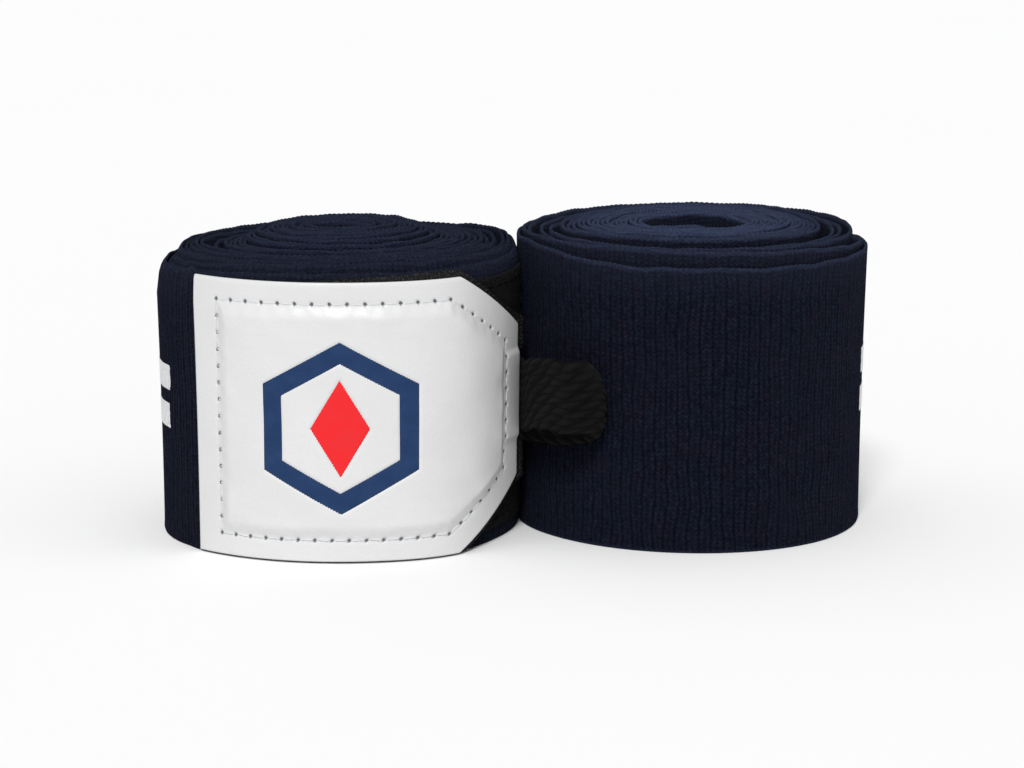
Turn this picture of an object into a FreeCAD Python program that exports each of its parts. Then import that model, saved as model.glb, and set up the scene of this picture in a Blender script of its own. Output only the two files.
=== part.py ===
"""A pair of boxing hand wraps, each rolled up and closed by its hook-and-loop tab, side by side.

Frame: millimetres, +Z up. The origin is the centre of the pair's footprint on the table.
Wrap a stands on the -X side with its tab facing -Y. Wrap b is the same product turned half a
turn about Z, so its tab faces +Y.

Each wrap is built about its own roll axis. Angles run from the front (-Y) towards +X, in
degrees. The heights above the coil that lies under the tab are called levels.
"""
import FreeCAD, Part
import math
import os

# The band: one long elastic strip, wound from its plain end outwards.
BAND_WIDTH = 50.0
BAND_LENGTH = 3050.0
BAND_THICKNESS = 0.80
TURN_PITCH = 0.97
ROLL_RADIUS = 31.5
BAND_END_ANGLE = -48.2

# How far groups of coils have slid up out of the roll: (half turns, rise), from the outside in.
WRAP_A_RISES = [(6, 0.0), (8, 0.8), (10, 1.8), (10, 3.0), (10, 4.2), (None, 5.4)]
WRAP_B_RISES = [(2, 0.0), (16, 3.0), (None, 3.8)]

# Where the two rolls stand.
ROLL_AXIS_X = 31.8
ROLL_AXIS_Y = 3.0

# The tab: a padded patch backed with hook tape, with its two free corners cut off.
TAB_LEFT_ANGLE = -47.0
TAB_RIGHT_ANGLE = 71.0
TAB_BOTTOM = 0.4
TAB_TOP = 48.8
CORNER_RUN = 18.0
CORNER_DROP = 10.8
HOOK_FRINGE = 1.1
SEAM_MARGIN = 4.0
SEAM_LINE = 3.7
SEAM_TUCK = 8.6
TAB_HINGE_LEVEL = 1.2

# Levels of the layers, from the coil under the tab outwards.
PANEL_TOP = 0.5
PANEL_THREAD_TOP = 0.55
HOOK_BOTTOM = 0.9
HOOK_TOP = 1.4
BAND_TUCK_BOTTOM = 0.6
MARGIN_TOP = 1.9
TAIL_TOP = 1.8
TAIL_COVER_TOP = 2.3
FOAM_TOP = 2.3
PAD_TOP = 2.8
PRINT_THICKNESS = 0.15

# The soft loop panel that the hook tape grips.
PANEL_LEFT_ANGLE = -30.0
PANEL_RIGHT_ANGLE = 87.0
PANEL_BOTTOM = 2.4
PANEL_HEIGHT = 45.0
PANEL_SEAM_INSET = 1.5

# The emblem pressed into the patch, and the plain bars printed on the band.
EMBLEM_ANGLE = 2.5
EMBLEM_HEIGHT = 23.8
RING_RADIUS = 15.0
RING_HOLE_RADIUS = 11.2
RHOMBUS_HALF_WIDTH = 5.0
RHOMBUS_HALF_HEIGHT = 8.6
BAR_START_ANGLE = -104.0
BAR_END_ANGLE = -64.0
BAR_BOTTOMS = [20.5, 27.5]
BAR_HEIGHT = 4.5

# The thumb loop: webbing folded back on itself, with both ends sewn into the tab.
LOOP_BOTTOM = 18.5
LOOP_WIDTH = 14.5
LOOP_DIRECTION = -56.0
LOOP_REACH = 17.06
LOOP_FOLD_RADIUS = 4.3
LOOP_ROOT_RADIUS = 0.9
LOOP_ROOT_LEVEL = 3.3
LOOP_ROOT_OUT = 1.2
WEBBING_THICKNESS = 1.35
LOOP_GAP_START = 4.0
TAIL_LENGTH = 8.0

# Sewing thread.
STITCH_LENGTH = 2.0
STITCH_WIDTH = 0.45
STITCH_HEIGHT = 0.25
STITCH_SPACING = 2.9
PANEL_STITCH_WIDTH = 0.35
HEM_STITCH_HEIGHT = 0.15
HEM_INSET_ANGLE = 45.0
HEM_END_CLEAR = 3.0

# Gap left between bodies that move apart.
MOVE_GAP = 0.35

UP = FreeCAD.Vector(0, 0, 1)


def outward(angle):
    """Unit vector that points away from the roll axis at an angle from the front."""
    turn = math.radians(angle)
    return FreeCAD.Vector(math.sin(turn), -math.cos(turn), 0)


def along(angle):
    """Unit vector that runs round the roll at an angle from the front."""
    turn = math.radians(angle)
    return FreeCAD.Vector(math.cos(turn), math.sin(turn), 0)


# --- The spiral ------------------------------------------------------------------------------

def half_turn(index):
    """Centre and outer radius of one half turn; they alternate about two close centres."""
    side = 1 if index % 2 == 0 else -1
    centre = outward(BAND_END_ANGLE) * (side * TURN_PITCH / 4)
    return centre, ROLL_RADIUS - TURN_PITCH / 4 - index * TURN_PITCH / 2


def half_turn_count():
    """Number of half turns that the band's length makes."""
    length = 0.0
    index = 0
    while length < BAND_LENGTH:
        length += math.pi * (half_turn(index)[1] - BAND_THICKNESS / 2)
        index += 1
    return index


UNDER_TAB_CENTRE, UNDER_TAB_RADIUS = half_turn(1)
OUTER_COIL_CENTRE, OUTER_COIL_RADIUS = half_turn(0)
HALF_TURNS = half_turn_count()


def coil_arc(index, depth):
    """Edge along one half turn, a depth under its outer surface."""
    centre, radius = half_turn(index)
    start = BAND_END_ANGLE - 180 * index
    points = [centre + outward(start - step) * (radius - depth) for step in (0, 90, 180)]
    return Part.Arc(*points).toShape()


def coil_group(first, last, rise):
    """Solid of the half turns first to last, slid up by rise."""
    outer = [coil_arc(index, 0) for index in range(first, last)]
    inner = [coil_arc(index, BAND_THICKNESS) for index in range(first, last)]
    start = Part.makeLine(outer[0].Vertexes[0].Point, inner[0].Vertexes[0].Point)
    end = Part.makeLine(outer[-1].Vertexes[-1].Point, inner[-1].Vertexes[-1].Point)
    wire = Part.Wire(Part.__sortEdges__(outer + inner + [start, end]))
    strip = Part.Face(wire).extrude(UP * BAND_WIDTH)
    strip.translate(UP * rise)
    return strip


def band(rises):
    """The wound band, as one solid."""
    groups = []
    first = 0
    for count, rise in rises:
        last = HALF_TURNS if count is None else first + count
        groups.append(coil_group(first, last, rise))
        first = last
    return groups[0].multiFuse(groups[1:])


# --- Curved plates round the roll ------------------------------------------------------------

def sector(centre, radii, angles, heights):
    """Curved plate between two radii, two angles and two heights."""
    def arc(radius):
        middle = (angles[0] + angles[1]) / 2
        points = [centre + outward(angle) * radius for angle in (angles[0], middle, angles[1])]
        return Part.Arc(*points).toShape()

    inner, outer = arc(radii[0]), arc(radii[1])
    sides = [Part.makeLine(inner.Vertexes[end].Point, outer.Vertexes[end].Point) for end in (0, -1)]
    plate = Part.Face(Part.Wire(Part.__sortEdges__([inner, outer] + sides)))
    plate.translate(UP * heights[0])
    return plate.extrude(UP * (heights[1] - heights[0]))


def under_tab_sector(levels, angles, heights):
    """Curved plate given by its levels above the coil under the tab."""
    radii = [UNDER_TAB_RADIUS + level for level in levels]
    return sector(UNDER_TAB_CENTRE, radii, angles, heights)


def degrees_along(length):
    """Angle that a length along the tab takes up."""
    return math.degrees(length / (UNDER_TAB_RADIUS + MARGIN_TOP))


def tab_outline(inset):
    """Edges of the tab's outline moved inwards: angles, heights, corner run and corner drop."""
    slope = math.hypot(CORNER_RUN, CORNER_DROP)
    run = CORNER_RUN - inset - inset * (CORNER_RUN - slope) / CORNER_DROP
    drop = CORNER_DROP - inset - inset * (CORNER_DROP - slope) / CORNER_RUN
    angles = (TAB_LEFT_ANGLE + degrees_along(inset), TAB_RIGHT_ANGLE - degrees_along(inset))
    return angles, (TAB_BOTTOM + inset, TAB_TOP - inset), run, drop


def corner_wedge(angles, height, run, drop, side):
    """Prism that cuts a free corner off a curved plate; side is 1 at the top, -1 below."""
    middle = angles[1] - degrees_along(run) / 2
    half_run = (UNDER_TAB_RADIUS + MARGIN_TOP) * math.sin(math.radians(degrees_along(run) / 2))
    reach = 2 * half_run
    depth = 8.0
    base = UNDER_TAB_CENTRE + outward(middle) * (UNDER_TAB_RADIUS - depth)

    def corner(run_share, drop_share):
        return base + along(middle) * (run_share * reach) + UP * (height - side * drop_share * drop)

    points = [corner(-1.0, -0.5), corner(1.0, 1.5), corner(1.0, -0.5), corner(-1.0, -0.5)]
    return Part.Face(Part.makePolygon(points)).extrude(outward(middle) * 2 * depth)


def tab_plate(inset, levels, left_angle=None):
    """Curved plate with the tab's outline, moved inwards by inset."""
    angles, heights, run, drop = tab_outline(inset)
    start = angles[0] if left_angle is None else left_angle
    plate = under_tab_sector(levels, (start, angles[1]), heights)
    plate = plate.cut(corner_wedge(angles, heights[1], run, drop, 1))
    return plate.cut(corner_wedge(angles, heights[0], run, drop, -1))


# --- Stitches --------------------------------------------------------------------------------

def stitch(centre, radius, angle, height, slope, size):
    """One thread stitch lying on a curved surface; slope is its lean from level, in degrees."""
    length, width, thickness = size
    lean = math.radians(slope)
    first = along(angle) * math.cos(lean) + UP * math.sin(lean)
    third = outward(angle)
    second = third.cross(first)
    place = centre + third * radius + UP * height
    block = Part.makeBox(length, width, thickness, FreeCAD.Vector(-length / 2, -width / 2, 0))
    block.transformShape(FreeCAD.Matrix(first.x, second.x, third.x, place.x,
                                        first.y, second.y, third.y, place.y,
                                        first.z, second.z, third.z, place.z,
                                        0, 0, 0, 1))
    return block


def stitch_row(corners, level_at, size):
    """Stitches along a closed outline of (angle, height) corners round the tab."""
    stitches = []
    radius = UNDER_TAB_RADIUS + MARGIN_TOP
    for (angle_a, height_a), (angle_b, height_b) in zip(corners, corners[1:] + corners[:1]):
        run = math.radians(angle_b - angle_a) * radius
        rise = height_b - height_a
        count = max(1, round(math.hypot(run, rise) / STITCH_SPACING))
        slope = math.degrees(math.atan2(rise, run))
        for number in range(count):
            share = (number + 0.5) / count
            angle = angle_a + share * (angle_b - angle_a)
            height = height_a + share * rise
            place = UNDER_TAB_RADIUS + level_at(angle, height)
            stitches.append(stitch(UNDER_TAB_CENTRE, place, angle, height, slope, size))
    return Part.makeCompound(stitches)


# --- The pieces of one wrap ------------------------------------------------------------------

def loop_panel():
    """Soft loop tape sewn flat on the band, where the tab closes."""
    heights = (PANEL_BOTTOM, PANEL_BOTTOM + PANEL_HEIGHT)
    return under_tab_sector((0, PANEL_TOP), (PANEL_LEFT_ANGLE, PANEL_RIGHT_ANGLE), heights)


def loop_panel_stitching():
    """Thread round the edge of the loop panel."""
    inset_angle = degrees_along(PANEL_SEAM_INSET)
    left, right = PANEL_LEFT_ANGLE + inset_angle, PANEL_RIGHT_ANGLE - inset_angle
    low = PANEL_BOTTOM + PANEL_SEAM_INSET
    high = PANEL_BOTTOM + PANEL_HEIGHT - PANEL_SEAM_INSET
    corners = [(left, low), (right, low), (right, high), (left, high)]
    size = (STITCH_LENGTH, PANEL_STITCH_WIDTH, PANEL_THREAD_TOP - PANEL_TOP)
    return stitch_row(corners, lambda angle, height: PANEL_TOP, size)


def band_tuck():
    """The last of the band, caught in the tab's left seam."""
    angles = (TAB_LEFT_ANGLE, TAB_LEFT_ANGLE + degrees_along(SEAM_TUCK))
    return under_tab_sector((BAND_TUCK_BOTTOM, HOOK_TOP), angles, (TAB_BOTTOM, TAB_TOP))


def loop_span():
    """Heights of the thumb loop's webbing."""
    return LOOP_BOTTOM, LOOP_BOTTOM + LOOP_WIDTH


def hook_tape():
    """Hook tape on the back of the tab, a little larger than the patch."""
    left = TAB_LEFT_ANGLE + degrees_along(SEAM_TUCK + MOVE_GAP)
    tape = tab_plate(-HOOK_FRINGE, (HOOK_BOTTOM, HOOK_TOP), left)
    low, high = loop_span()
    fringe = (TAB_RIGHT_ANGLE, TAB_RIGHT_ANGLE + degrees_along(2 * HOOK_FRINGE))
    notch = under_tab_sector((0, PAD_TOP), fringe, (low - MOVE_GAP, high + MOVE_GAP))
    strip_floor = under_tab_sector((0, PAD_TOP), (left - 1, fringe[1] + 1), (-2 * HOOK_FRINGE, TAB_BOTTOM))
    return tape.cut(notch).cut(strip_floor)


def tail_sector(top, margin):
    """Space of the thumb loop's sewn-in ends, with a margin round it."""
    low, high = loop_span()
    angles = (TAB_RIGHT_ANGLE - degrees_along(TAIL_LENGTH + margin), TAB_RIGHT_ANGLE)
    return under_tab_sector((HOOK_TOP, top), angles, (low - margin, high + margin))


def patch_foam():
    """Thin foam that pads the patch inside its stitch line."""
    return tab_plate(SEAM_MARGIN + 0.5, (HOOK_TOP, FOAM_TOP)).cut(tail_sector(TAIL_TOP, 0))


def patch_cover():
    """Coated leather cover: a flat seam margin round a raised pad that holds the foam."""
    margin = tab_plate(0, (HOOK_TOP, MARGIN_TOP))
    pad = tab_plate(SEAM_MARGIN, (HOOK_TOP, PAD_TOP))
    over_tails = tail_sector(TAIL_COVER_TOP, 0.5)
    cavity = tab_plate(SEAM_MARGIN + 0.5, (HOOK_TOP, FOAM_TOP))
    return margin.fuse([pad, over_tails]).cut(cavity).cut(tail_sector(TAIL_TOP, 0))


def patch_stitching():
    """Thread along the patch's seam line, over the thumb loop's ends on the free side."""
    angles, (low, high), run, drop = tab_outline(SEAM_LINE)
    corner_angle = angles[1] - degrees_along(run)
    corners = [(angles[0], low), (corner_angle, low), (angles[1], low + drop),
               (angles[1], high - drop), (corner_angle, high), (angles[0], high)]
    loop_low, loop_high = loop_span()

    def level_at(angle, height):
        over_tails = angle > angles[1] - 1 and loop_low - 1.5 < height < loop_high + 1.5
        return TAIL_COVER_TOP if over_tails else MARGIN_TOP

    return stitch_row(corners, level_at, (STITCH_LENGTH, STITCH_WIDTH, STITCH_HEIGHT))


def emblem_film(corners):
    """Thin ink film on the pad, cut to an outline of (across, up) corners."""
    base = UNDER_TAB_CENTRE + outward(EMBLEM_ANGLE) * (UNDER_TAB_RADIUS - 6.0)
    side = along(EMBLEM_ANGLE)
    points = [base + side * across + UP * (EMBLEM_HEIGHT + up) for across, up in corners]
    prism = Part.Face(Part.makePolygon(points + points[:1])).extrude(outward(EMBLEM_ANGLE) * 12.0)
    film = under_tab_sector((PAD_TOP, PAD_TOP + PRINT_THICKNESS), (-40, 45), (TAB_BOTTOM, TAB_TOP))
    return film.common(prism)


def hexagon(radius):
    """Corners of a hexagon that stands on a corner."""
    turns = [math.radians(60 * corner) for corner in range(6)]
    return [(radius * math.sin(turn), radius * math.cos(turn)) for turn in turns]


def emblem_ring():
    """Hexagonal ring of the emblem."""
    return emblem_film(hexagon(RING_RADIUS)).cut(emblem_film(hexagon(RING_HOLE_RADIUS)))


def emblem_rhombus():
    """Rhombus in the middle of the ring."""
    wide, tall = RHOMBUS_HALF_WIDTH, RHOMBUS_HALF_HEIGHT
    return emblem_film([(wide, 0), (0, tall), (-wide, 0), (0, -tall)])


def band_print():
    """Plain bars printed on the outer coil beside the tab."""
    radii = (OUTER_COIL_RADIUS, OUTER_COIL_RADIUS + PRINT_THICKNESS)
    angles = (BAR_START_ANGLE, BAR_END_ANGLE)
    bars = [sector(OUTER_COIL_CENTRE, radii, angles, (low, low + BAR_HEIGHT)) for low in BAR_BOTTOMS]
    return Part.makeCompound(bars)


def end_hem_stitching(rises):
    """Thread that holds the hem at the band's inner end, in the core of the roll."""
    last = HALF_TURNS - 1
    centre, radius = half_turn(last)
    angle = BAND_END_ANGLE - 180 * HALF_TURNS + HEM_INSET_ANGLE
    low = rises[-1][1] + HEM_END_CLEAR
    high = rises[-1][1] + BAND_WIDTH - HEM_END_CLEAR
    count = round((high - low) / STITCH_SPACING)
    size = (STITCH_LENGTH, PANEL_STITCH_WIDTH, HEM_STITCH_HEIGHT)
    place = radius - BAND_THICKNESS - HEM_STITCH_HEIGHT
    spacing = (high - low) / count
    heights = [low + (number + 0.5) * spacing for number in range(count)]
    return Part.makeCompound([stitch(centre, place, angle, height, 90, size) for height in heights])


def loop_root():
    """Point of the thumb loop's axis, beside the tab's free edge."""
    angle = TAB_RIGHT_ANGLE + degrees_along(LOOP_ROOT_OUT)
    return UNDER_TAB_CENTRE + outward(angle) * (UNDER_TAB_RADIUS + LOOP_ROOT_LEVEL)


def tab_hinge():
    """Point of the tab's axis, just above the band in the gap at the tab's sewn edge."""
    angle = (BAND_END_ANGLE + TAB_LEFT_ANGLE) / 2
    return UNDER_TAB_CENTRE + outward(angle) * (UNDER_TAB_RADIUS + TAB_HINGE_LEVEL)


def belt_face(start, start_radius, end, end_radius):
    """Flat face bounded like a belt round two discs."""
    axis = (end - start).normalize()
    across = UP.cross(axis)
    lean = math.asin((end_radius - start_radius) / (end - start).Length)
    rim = [across * (side * math.cos(lean)) - axis * math.sin(lean) for side in (1, -1)]
    back = Part.Arc(start + rim[0] * start_radius, start - axis * start_radius,
                    start + rim[1] * start_radius).toShape()
    front = Part.Arc(end + rim[0] * end_radius, end + axis * end_radius,
                     end + rim[1] * end_radius).toShape()
    sides = [Part.makeLine(start + edge * start_radius, end + edge * end_radius) for edge in rim]
    return Part.Face(Part.Wire(Part.__sortEdges__([back, front] + sides)))


def thumb_loop():
    """Webbing folded into a loop, rounded where it hinges at the tab's free edge."""
    turn = math.radians(LOOP_DIRECTION)
    axis = FreeCAD.Vector(math.cos(turn), math.sin(turn), 0)
    root = loop_root()
    fold = root + axis * LOOP_REACH
    gap_start = root + axis * LOOP_GAP_START
    growth = (LOOP_FOLD_RADIUS - LOOP_ROOT_RADIUS) / LOOP_REACH
    gap_radius = LOOP_ROOT_RADIUS + growth * LOOP_GAP_START - WEBBING_THICKNESS
    outer = belt_face(root, LOOP_ROOT_RADIUS, fold, LOOP_FOLD_RADIUS)
    inner = belt_face(gap_start, gap_radius, fold, LOOP_FOLD_RADIUS - WEBBING_THICKNESS)
    loop = outer.cut(inner).extrude(UP * LOOP_WIDTH)
    loop.translate(UP * LOOP_BOTTOM)
    return loop


# --- The pair --------------------------------------------------------------------------------

def wrap_pieces(rises):
    """Every piece of one wrap, about its own roll axis."""
    return {
        "band": band(rises),
        "end_hem_stitching": end_hem_stitching(rises),
        "band_print": band_print(),
        "loop_panel": loop_panel(),
        "loop_panel_stitching": loop_panel_stitching(),
        "band_tuck": band_tuck(),
        "hook_tape": hook_tape(),
        "patch_foam": patch_foam(),
        "patch_cover": patch_cover(),
        "patch_stitching": patch_stitching(),
        "emblem_ring": emblem_ring(),
        "emblem_rhombus": emblem_rhombus(),
        "thumb_loop_tails": tail_sector(TAIL_TOP, 0),
        "thumb_loop": thumb_loop(),
    }


def main():
    os.makedirs("parts", exist_ok=True)
    wraps = [("wrap_a", WRAP_A_RISES, -1, 0), ("wrap_b", WRAP_B_RISES, 1, 180)]
    for wrap, rises, side, turn in wraps:
        for piece, shape in wrap_pieces(rises).items():
            shape.rotate(FreeCAD.Vector(0, 0, 0), UP, turn)
            shape.translate(FreeCAD.Vector(side * ROLL_AXIS_X, side * ROLL_AXIS_Y, 0))
            shape.exportStep("parts/%s_%s.step" % (wrap, piece))
    axis_a = FreeCAD.Vector(-ROLL_AXIS_X, -ROLL_AXIS_Y, 0)
    print("half turns in the band:", HALF_TURNS)
    print("tab hinge of wrap a:", axis_a + tab_hinge())
    print("thumb loop hinge of wrap a:", axis_a + loop_root())


main()
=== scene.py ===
"""Looks of a pair of rolled boxing hand wraps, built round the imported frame.

Lengths are millimetres in each wrap's own frame, about its roll axis, until place() turns them
into metres in the row frame. Angles run from the front (-Y) towards +X, in degrees. A level is
a height above the coil that lies under the tab.
"""

import bpy
import math
import numpy as np
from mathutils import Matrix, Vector


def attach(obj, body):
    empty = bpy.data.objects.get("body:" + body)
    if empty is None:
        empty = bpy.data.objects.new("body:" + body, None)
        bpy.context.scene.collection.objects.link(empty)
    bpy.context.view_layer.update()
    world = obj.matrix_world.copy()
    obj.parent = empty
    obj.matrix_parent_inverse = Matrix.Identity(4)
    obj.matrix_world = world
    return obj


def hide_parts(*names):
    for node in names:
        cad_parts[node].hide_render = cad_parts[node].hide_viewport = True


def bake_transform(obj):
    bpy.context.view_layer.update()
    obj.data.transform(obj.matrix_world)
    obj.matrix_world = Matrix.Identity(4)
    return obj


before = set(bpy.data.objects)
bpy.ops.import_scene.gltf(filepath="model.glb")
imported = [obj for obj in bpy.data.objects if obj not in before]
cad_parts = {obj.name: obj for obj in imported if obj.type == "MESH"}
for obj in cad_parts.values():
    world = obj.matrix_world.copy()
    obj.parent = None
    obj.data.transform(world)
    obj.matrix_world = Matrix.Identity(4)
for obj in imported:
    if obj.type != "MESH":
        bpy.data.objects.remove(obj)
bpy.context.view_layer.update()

# The band and its roll.
BAND_WIDTH = 50.0
TURN_PITCH = 0.97
ROLL_RADIUS = 31.5
BAND_END_ANGLE = -48.2
TURNS = 27
BODY_HALF = 0.33
RIB_PITCH = 1.0
RIB_DEPTH = 0.15
FINE_TURNS = 2.2
BAND_START = 7.0
EYE_TURNS = (21.8, 24.6)

# Where the two rolls stand.
ROLL_AXIS = (31.8, 3.0)
CONTACT_ANGLE = 95.4
CONTACT_BULGE = 0.95
TOP_LEAN = 0.8
CORNER_FADE = 9.0

# The tab.
TAB_LEFT_ANGLE = -47.0
TAB_RIGHT_ANGLE = 71.0
TAB_BOTTOM = 0.4
TAB_TOP = 48.8
CORNER_RUN = 18.0
CORNER_DROP = 10.8
HOOK_FRINGE = 1.1
SEAM_LINE = 3.7
SEAM_TUCK = 8.6
TAB_HINGE_LEVEL = 1.2
MARGIN_TOP = 1.9
HOOK_BOTTOM = 0.9
HOOK_TOP = 1.4
PAD_TOP = 2.85
COVER_THICKNESS = 0.46
TAIL_COVER_TOP = 2.3
STITCH_SPACING = 2.9
STITCH_GAP = 0.3
THREAD_PLIES = 2
THREAD_RADIUS = 0.15
PATCH_THREAD_RADIUS = 0.14
FREE_LIFT = 0.1
COVER_LEFT = 0.9
FOAM_INSET = 4.4
FILM_THICKNESS = 0.1
HOOK_SPACING = 1.25
FRINGE_OUT = 1.4
FRINGE_SPRING = 0.9

# The loop panel, the emblem and the printed bars.
PANEL_ANGLES = (-30.0, 87.0)
PANEL_HEIGHTS = (2.4, 47.4)
PANEL_TOP = 0.5
EMBLEM_ANGLE = 2.5
EMBLEM_HEIGHT = 23.8
RING_RADII = (11.2, 15.0)
RHOMBUS_HALF = (5.0, 8.6)
BAR_ANGLES = (-104.0, -64.0)
BAR_BOTTOMS = (20.5, 27.5)
BAR_HEIGHT = 4.5

# Columns and rows of the grids.
COVER_GRID = (270, 196)
FOAM_GRID = (90, 64)
HOOK_GRID = (150, 130)
PANEL_GRID = (200, 140)

# The thumb loop.
LOOP_DIRECTION = -56.0
LOOP_REACH = 17.06
LOOP_FOLD_RADIUS = 3.65
LOOP_ROOT_LEVEL = 3.3
LOOP_ROOT_OUT = 1.2
LOOP_SPAN = (18.15, 33.35)
WEBBING_WIDTH = 13.3
BRAID_DEPTH = 0.42
ROUTE_STEP = 0.24

# The studio, in metres and radians.
FLOOR_HALF = 6.0
WORLD_STRENGTH = 0.55
KEY_STRENGTH = 2.2
KEY_ANGLE = math.radians(16)
KEY_FROM = Vector((-0.08, -0.87, 0.87))
LENS = 119.25
CAMERA_PLACE = (-0.001, -0.600, 0.1396)
CAMERA_DROP = 0.1894


class Wrap:
    """One of the two wraps: where it stands, and how its coils have slipped."""

    def __init__(self, letter, flip, seed, **facts):
        self.letter = letter
        self.flip = flip
        self.seed = seed
        self.__dict__.update(facts)

    def name(self, piece):
        return f"wrap_{self.letter}_{piece}"

    def body(self, kind):
        return f"{kind}_{self.letter}"

    def ripple(self, u, v, number, scale):
        """The wrap's own ripple of that number."""
        return ripple(u, v, self.seed + number, scale)

    def facing(self, angle):
        """Angle from the front of the row for an angle of this wrap."""
        return angle + (0 if self.flip > 0 else 180)


# What the facts of a wrap mean:
# steps      (turn, height) of each place where the coils jump up
# gaps       (turn, width in turns, least gap, extra gap, facing angle of the widest place,
#            sharpness) of each place where a coil has pulled away from the next
# corners    (facing angle, push, spread in degrees, height above which it is pushed out, below
#            zero for the whole height) of each blunt corner of the roll
# tilt       how much higher the coils inside the outer one stand at the front and at the right
# eye_shift  how far the eye lies forward
# eye_drop   how far the innermost coils have sunk, and how much they are pressed down as well
# edge_curl  how far the top edge rolls in, at the front and at the left
# dip        how far the outer coil's top edge drops at the left
# lift       how far it climbs on its way to the second coil
# dent       how far the roll is pressed in at the right
# uneven     how uneven the coils' heights are
# brushed    how fuzzy the band's edges are, and how much painted light brightens them
WRAP_A = Wrap(
    "a", 1, 100,
    steps=[(1.05, 0.9), (2.6, 0.2), (4.2, 0.4), (6.2, 0.15), (8.5, 0.2), (11.0, 0.2), (13.0, 0.75),
           (15.0, 0.75), (17.6, 0.5), (21.0, 0.2)],
    gaps=[(3.3, 0.5, 0.0, 1.7, 129, 3), (7.8, 0.5, 0.2, 3.2, -113, 2)],
    corners=[(-62, 0.7, 22, -9), (36, 1.3, 22, -9), (122, 3.0, 16, 35)],
    tilt=(0.4, 0.55), eye_shift=0.0, eye_drop=(0.0, 0.0), edge_curl=(0.8, 1.7),
    dip=1.7, lift=0.0, dent=0.0, uneven=0.34, edge_fuzz_and_light=0.4)
WRAP_B = Wrap(
    "b", -1, 500,
    steps=[(1.02, 2.9), (2.4, 0.15), (4.7, 1.0), (9.0, 0.25)],
    gaps=[(1.0, 2.9, 0.0, 4.0, 122, 2), (3.1, 0.4, 0.0, 1.9, -128, 2), (4.4, 0.5, 0.6, 2.4, 172, 1)],
    corners=[],
    tilt=(0.0, 0.25), eye_shift=2.5, eye_drop=(4.1, 2.0), edge_curl=(0.0, 0.0),
    dip=0.0, lift=2.0, dent=1.3, uneven=0.22, edge_fuzz_and_light=1.35)
WRAPS = (WRAP_A, WRAP_B)


# --- Shapes ---

def joined(*parts):
    """Coordinates side by side on a new last axis."""
    return np.stack(np.broadcast_arrays(*parts), -1)


def outward(angle):
    """Unit vectors away from the roll axis."""
    turn = np.radians(angle)
    return joined(np.sin(turn), -np.cos(turn))


def along(angle):
    """Unit vectors round the roll."""
    turn = np.radians(angle)
    return joined(np.cos(turn), np.sin(turn))


def unit(vectors):
    """The vectors, each scaled to length 1."""
    return vectors / np.linalg.norm(vectors, axis=-1, keepdims=True)


def sides_of(corners):
    """Pairs of neighbouring corners round a closed outline."""
    return zip(corners, np.roll(corners, -1, axis=0))


def smooth(low, high, value):
    """0 below low, 1 above high, and a smooth climb between."""
    share = np.clip((value - low) / (high - low), 0, 1)
    return share * share * (3 - 2 * share)


def ripple(u, v, seed, scale, waves=7):
    """Seeded smooth noise over two lengths, mostly from -1 to 1, with features about scale long."""
    rng = np.random.default_rng(seed)
    total = np.zeros(np.broadcast(u, v).shape)
    for _ in range(waves):
        angle = rng.uniform(0, 2 * math.pi)
        rate = 2 * math.pi / scale * rng.uniform(0.55, 1.5)
        shift = rng.uniform(0, 2 * math.pi)
        total = total + np.sin(rate * (u * math.cos(angle) + v * math.sin(angle)) + shift)
    return total / math.sqrt(waves)


def flare(wrap, angle, height):
    """How far the roll leans out towards its top, and bulges at its corners and where it touches."""
    touch = np.clip(np.cos(np.radians(angle - CONTACT_ANGLE)), 0, 1) ** 10
    total = TOP_LEAN * (height / BAND_WIDTH) ** 2 * (1 - 0.9 * touch) + CONTACT_BULGE * touch
    for facing, push, spread, foot in wrap.corners:
        away = (wrap.facing(angle) - facing + 180) % 360 - 180
        total = total + push * np.exp(-(away / spread) ** 2) * smooth(foot, foot + CORNER_FADE, height)
    return total


def leftness(wrap, angle):
    """1 at the left of the row, 0 from the front and the back on."""
    return np.clip(np.cos(np.radians(wrap.facing(angle) + 95)), 0, 1) ** 2


def curl(wrap, angle, height):
    """How far the top edge rolls inwards."""
    front, left = wrap.edge_curl
    share = leftness(wrap, angle)
    everywhere = front * smooth(48.0, 50.4, height)
    at_left = (left - front) * share * smooth(43.5, 50.4, height)
    return -everywhere - at_left


def place(wrap, xy, height):
    """Points in the row frame, in metres."""
    x = wrap.flip * (xy[..., 0] - ROLL_AXIS[0])
    y = wrap.flip * (xy[..., 1] - ROLL_AXIS[1])
    return joined(x, y, height) / 1000


TAB_CENTRE = -outward(BAND_END_ANGLE) * TURN_PITCH / 4
TAB_RADIUS = ROLL_RADIUS - TURN_PITCH * 3 / 4
FLAT_RADIUS = TAB_RADIUS + MARGIN_TOP
TAB_LENGTH = math.radians(TAB_RIGHT_ANGLE - TAB_LEFT_ANGLE) * FLAT_RADIUS


def flat_angle(run):
    """Angle round the roll of a place run mm along the tab from its sewn edge."""
    return TAB_LEFT_ANGLE + np.degrees(run / FLAT_RADIUS)


def tab_xy(wrap, angle, level, height, free_lift=FREE_LIFT):
    """Plan points at a level above the coil under the tab, whose free edge stands a little off."""
    level = level + free_lift * smooth(44, 84, angle)
    radius = TAB_RADIUS + level + flare(wrap, angle, height) + curl(wrap, angle, height)
    return TAB_CENTRE + outward(angle) * np.asarray(radius)[..., None]


def tab_points(wrap, angle, level, height, free_lift=FREE_LIFT):
    angle, level, height = np.broadcast_arrays(angle, level, height)
    return place(wrap, tab_xy(wrap, angle, level, height, free_lift), height)


# --- Meshes ---

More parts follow.
